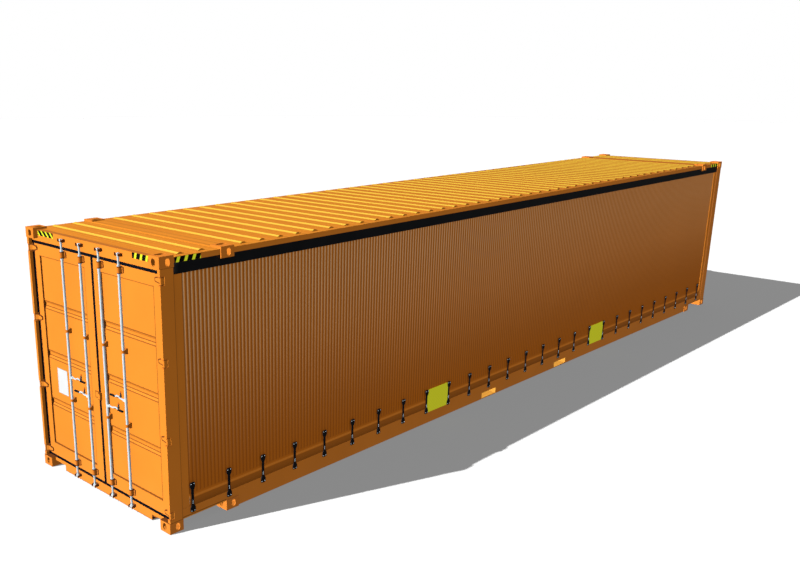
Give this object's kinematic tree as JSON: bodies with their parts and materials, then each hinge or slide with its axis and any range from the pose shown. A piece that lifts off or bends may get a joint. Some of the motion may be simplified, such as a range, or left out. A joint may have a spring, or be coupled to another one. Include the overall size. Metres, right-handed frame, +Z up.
{
  "type": "curtain-side shipping container",
  "caption": "High-cube curtain-side shipping container with ribbed steel roof, strapped curtains, hinged end doors with locking bars, and casting blocks at its corners.",
  "frame": {"origin": "middle of the ground plane under the container", "axes": "X along the length with the doors at -X, Y across with the left side at +Y as seen from outside the doors, Z up"},
  "size_m": [13.716, 2.5, 2.896],
  "materials": {
    "orange_paint": "satin",
    "roof_paint": "satin",
    "casting_paint": "satin",
    "curtain_cloth": "satin coated cloth",
    "black_flap": "satin coated cloth",
    "webbing": "woven",
    "seal_rubber": "matte",
    "grip_rubber": "matte",
    "zinc_steel": "galvanised",
    "hardware_paint": "satin",
    "deck_wood": "oiled plywood",
    "reflective_sheet": "retroreflective",
    "white_plate": "satin",
    "under_paint": "matte"
  },
  "bodies": {
    "root": {"door_end_castings": "casting_paint", "front_end_castings": "casting_paint", "forty_foot_castings": "casting_paint", "door_posts": "orange_paint", "hinge_lugs": "hardware_paint", "front_posts": "orange_paint", "forty_foot_posts": "orange_paint", "door_header": "orange_paint", "door_sill": "orange_paint", "front_header": "orange_paint", "front_sill": "orange_paint", "front_wall": "orange_paint", "top_rail_left": "orange_paint", "top_rail_right": "orange_paint", "bottom_rail_left": "orange_paint", "bottom_rail_right": "orange_paint", "fork_pockets": "orange_paint", "cross_members": "under_paint", "floor": "deck_wood", "roof_panel": "roof_paint", "roof_bands": "roof_paint", "curtain_left": "curtain_cloth", "curtain_right": "curtain_cloth", "curtain_poles": "curtain_cloth", "pelmet_left": "black_flap", "pelmet_right": "black_flap", "straps_left": "webbing", "straps_right": "webbing", "cam_keepers": "hardware_paint"},
    "left_door": {"door_leaf_left": "orange_paint", "door_seal_left": "seal_rubber", "door_hinges_left": "hardware_paint", "bar_guides_left": "hardware_paint", "handle_retainers_left": "zinc_steel", "lock_plate_left": "hardware_paint"},
    "right_door": {"door_leaf_right": "orange_paint", "door_seal_right": "seal_rubber", "door_hinges_right": "hardware_paint", "bar_guides_right": "hardware_paint", "handle_retainers_right": "zinc_steel", "lock_box_right": "hardware_paint"},
    "bar_left_outer": {"locking_bar_left_outer": "zinc_steel"},
    "lever_left_outer": {"handle_left_outer": "zinc_steel", "grip_left_outer": "grip_rubber"},
    "bar_left_inner": {"locking_bar_left_inner": "zinc_steel"},
    "lever_left_inner": {"handle_left_inner": "zinc_steel", "grip_left_inner": "grip_rubber"},
    "bar_right_inner": {"locking_bar_right_inner": "zinc_steel"},
    "lever_right_inner": {"handle_right_inner": "zinc_steel", "grip_right_inner": "grip_rubber"},
    "bar_right_outer": {"locking_bar_right_outer": "zinc_steel"},
    "lever_right_outer": {"handle_right_outer": "zinc_steel", "grip_right_outer": "grip_rubber"}
  },
  "joints": [
    {"name": "left_door_swing", "type": "hinge", "parent": "root", "child": "left_door", "pos_m": [-6.834, 1.236, 1.43], "axis": [0, 0, -1], "range_deg": [0, 265]},
    {"name": "right_door_swing", "type": "hinge", "parent": "root", "child": "right_door", "pos_m": [-6.834, -1.236, 1.43], "axis": [0, 0, 1], "range_deg": [0, 265]},
    {"name": "bar_left_outer_turn", "type": "hinge", "parent": "left_door", "child": "bar_left_outer", "pos_m": [-6.833, 0.54, 1.272], "axis": [0, 0, 1], "range_deg": [-100, 0]},
    {"name": "handle_left_outer_lift", "type": "hinge", "parent": "bar_left_outer", "child": "lever_left_outer", "pos_m": [-6.833, 0.51, 1.272], "axis": [1, 0, 0], "range_deg": [-20, 0]},
    {"name": "bar_left_inner_turn", "type": "hinge", "parent": "left_door", "child": "bar_left_inner", "pos_m": [-6.833, 0.18, 1.13], "axis": [0, 0, -1], "range_deg": [-100, 0]},
    {"name": "handle_left_inner_lift", "type": "hinge", "parent": "bar_left_inner", "child": "lever_left_inner", "pos_m": [-6.833, 0.21, 1.13], "axis": [-1, 0, 0], "range_deg": [-20, 0]},
    {"name": "bar_right_inner_turn", "type": "hinge", "parent": "right_door", "child": "bar_right_inner", "pos_m": [-6.833, -0.18, 1.13], "axis": [0, 0, 1], "range_deg": [-100, 0]},
    {"name": "handle_right_inner_lift", "type": "hinge", "parent": "bar_right_inner", "child": "lever_right_inner", "pos_m": [-6.833, -0.21, 1.13], "axis": [1, 0, 0], "range_deg": [-20, 0]},
    {"name": "bar_right_outer_turn", "type": "hinge", "parent": "right_door", "child": "bar_right_outer", "pos_m": [-6.833, -0.54, 1.272], "axis": [0, 0, -1], "range_deg": [-100, 0]},
    {"name": "handle_right_outer_lift", "type": "hinge", "parent": "bar_right_outer", "child": "lever_right_outer", "pos_m": [-6.833, -0.51, 1.272], "axis": [-1, 0, 0], "range_deg": [-20, 0]}
  ]
}
